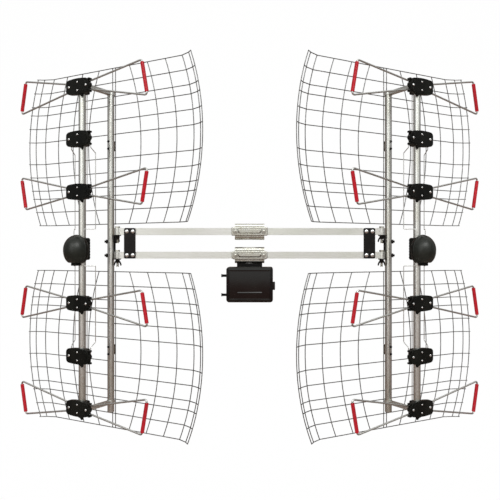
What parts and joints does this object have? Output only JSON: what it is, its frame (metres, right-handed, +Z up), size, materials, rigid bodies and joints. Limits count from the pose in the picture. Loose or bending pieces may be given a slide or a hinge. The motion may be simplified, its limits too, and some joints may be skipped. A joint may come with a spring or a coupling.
{
  "type": "bow-tie television antenna",
  "caption": "Two hinged bow-tie antenna panels with curved wire grid reflectors on a pair of crossbars, with pole clamps and a signal combiner box.",
  "frame": {"origin": "on the pole's axis, halfway between the two crossbars", "axes": "+X to the right seen from the front, +Y towards the pole behind, +Z up; the antenna faces -Y"},
  "size_m": [1.1356, 0.3146, 0.8596],
  "materials": {
    "tube_aluminium": "brushed",
    "bar_aluminium": "satin mill finish",
    "rod_aluminium": "drawn rod",
    "grid_wire": "dull galvanised",
    "black_plastic": "moulded satin",
    "satin_black": "smooth satin",
    "gloss_black": "gloss",
    "red_plastic": "smooth",
    "chrome_steel": "polished",
    "zinc_steel": "zinc plated",
    "black_steel": "black passivated",
    "tinned_wire": "bright drawn wire",
    "nickel_brass": "nickel plated",
    "port_rubber": "moulded",
    "seal_rubber": "soft",
    "circuit_board": "glass epoxy"
  },
  "bodies": {
    "frame": {"upper_crossbar": "bar_aluminium", "lower_crossbar": "bar_aluminium", "end_arms": "bar_aluminium", "joining_plates": "black_steel", "carriage_bolts": "chrome_steel", "hex_nuts": "zinc_steel", "hinge_bolts": "zinc_steel", "clamp_jaws": "zinc_steel", "pole_saddles": "zinc_steel", "combiner_bracket": "black_steel", "combiner_base": "gloss_black", "combiner_board": "circuit_board", "combiner_ports": "port_rubber", "lid_seal": "seal_rubber", "lid_hinge_pin": "zinc_steel"},
    "left_panel": {"left_mast_tube": "tube_aluminium", "left_boom": "tube_aluminium", "left_standoff_arms": "bar_aluminium", "left_mast_bracket": "black_steel", "left_bracket_screws": "black_steel", "left_upper_reflector": "grid_wire", "left_lower_reflector": "grid_wire", "left_reflector_clips": "zinc_steel", "left_clip_screws": "black_steel", "left_bay_insulators": "black_plastic", "left_blank_spacers": "black_plastic", "left_block_screws": "chrome_steel", "left_bowtie_elements": "rod_aluminium", "left_tip_sleeves": "red_plastic", "left_feed_lines": "tinned_wire", "left_balun_base": "black_plastic", "left_balun_cover": "satin_black", "left_balun_board": "circuit_board", "left_coax_connector": "nickel_brass"},
    "right_panel": {"right_mast_tube": "tube_aluminium", "right_boom": "tube_aluminium", "right_standoff_arms": "bar_aluminium", "right_mast_bracket": "black_steel", "right_bracket_screws": "black_steel", "right_upper_reflector": "grid_wire", "right_lower_reflector": "grid_wire", "right_reflector_clips": "zinc_steel", "right_clip_screws": "black_steel", "right_bay_insulators": "black_plastic", "right_blank_spacers": "black_plastic", "right_block_screws": "chrome_steel", "right_bowtie_elements": "rod_aluminium", "right_tip_sleeves": "red_plastic", "right_feed_lines": "tinned_wire", "right_balun_base": "black_plastic", "right_balun_cover": "satin_black", "right_balun_board": "circuit_board", "right_coax_connector": "nickel_brass"},
    "upper_clamp_bolt": {"upper_u_bolt": "zinc_steel"},
    "lower_clamp_bolt": {"lower_u_bolt": "zinc_steel"},
    "combiner_cover": {"combiner_lid": "gloss_black"},
    "left_upper_wing_nut_body": {"left_upper_wing_nut": "black_steel"},
    "left_lower_wing_nut_body": {"left_lower_wing_nut": "black_steel"},
    "right_upper_wing_nut_body": {"right_upper_wing_nut": "black_steel"},
    "right_lower_wing_nut_body": {"right_lower_wing_nut": "black_steel"}
  },
  "joints": [
    {"name": "left_panel_aim", "type": "hinge", "parent": "frame", "child": "left_panel", "pos_m": [-0.311, -0.0305, 0], "axis": [0, 0, -1], "range_deg": [-60, 60]},
    {"name": "right_panel_aim", "type": "hinge", "parent": "frame", "child": "right_panel", "pos_m": [0.311, -0.0305, 0], "axis": [0, 0, 1], "range_deg": [-60, 60]},
    {"name": "upper_clamp_slide", "type": "slide", "parent": "frame", "child": "upper_clamp_bolt", "axis": [0, 1, 0], "range_m": [-0.008, 0.01]},
    {"name": "lower_clamp_slide", "type": "slide", "parent": "frame", "child": "lower_clamp_bolt", "axis": [0, 1, 0], "range_m": [-0.008, 0.01]},
    {"name": "combiner_lid_hinge", "type": "hinge", "parent": "frame", "child": "combiner_cover", "pos_m": [-0.0519, -0.045, -0.096], "axis": [0, 0, -1], "range_deg": [0, 95]},
    {"name": "left_upper_wing_nut_spin", "type": "hinge", "parent": "frame", "child": "left_upper_wing_nut_body", "pos_m": [-0.311, -0.0305, 0.012], "axis": [0, 0, 1], "continuous": true},
    {"name": "left_lower_wing_nut_spin", "type": "hinge", "parent": "frame", "child": "left_lower_wing_nut_body", "pos_m": [-0.311, -0.0305, -0.043], "axis": [0, 0, 1], "continuous": true},
    {"name": "right_upper_wing_nut_spin", "type": "hinge", "parent": "frame", "child": "right_upper_wing_nut_body", "pos_m": [0.311, -0.0305, 0.012], "axis": [0, 0, 1], "continuous": true},
    {"name": "right_lower_wing_nut_spin", "type": "hinge", "parent": "frame", "child": "right_lower_wing_nut_body", "pos_m": [0.311, -0.0305, -0.043], "axis": [0, 0, 1], "continuous": true}
  ]
}
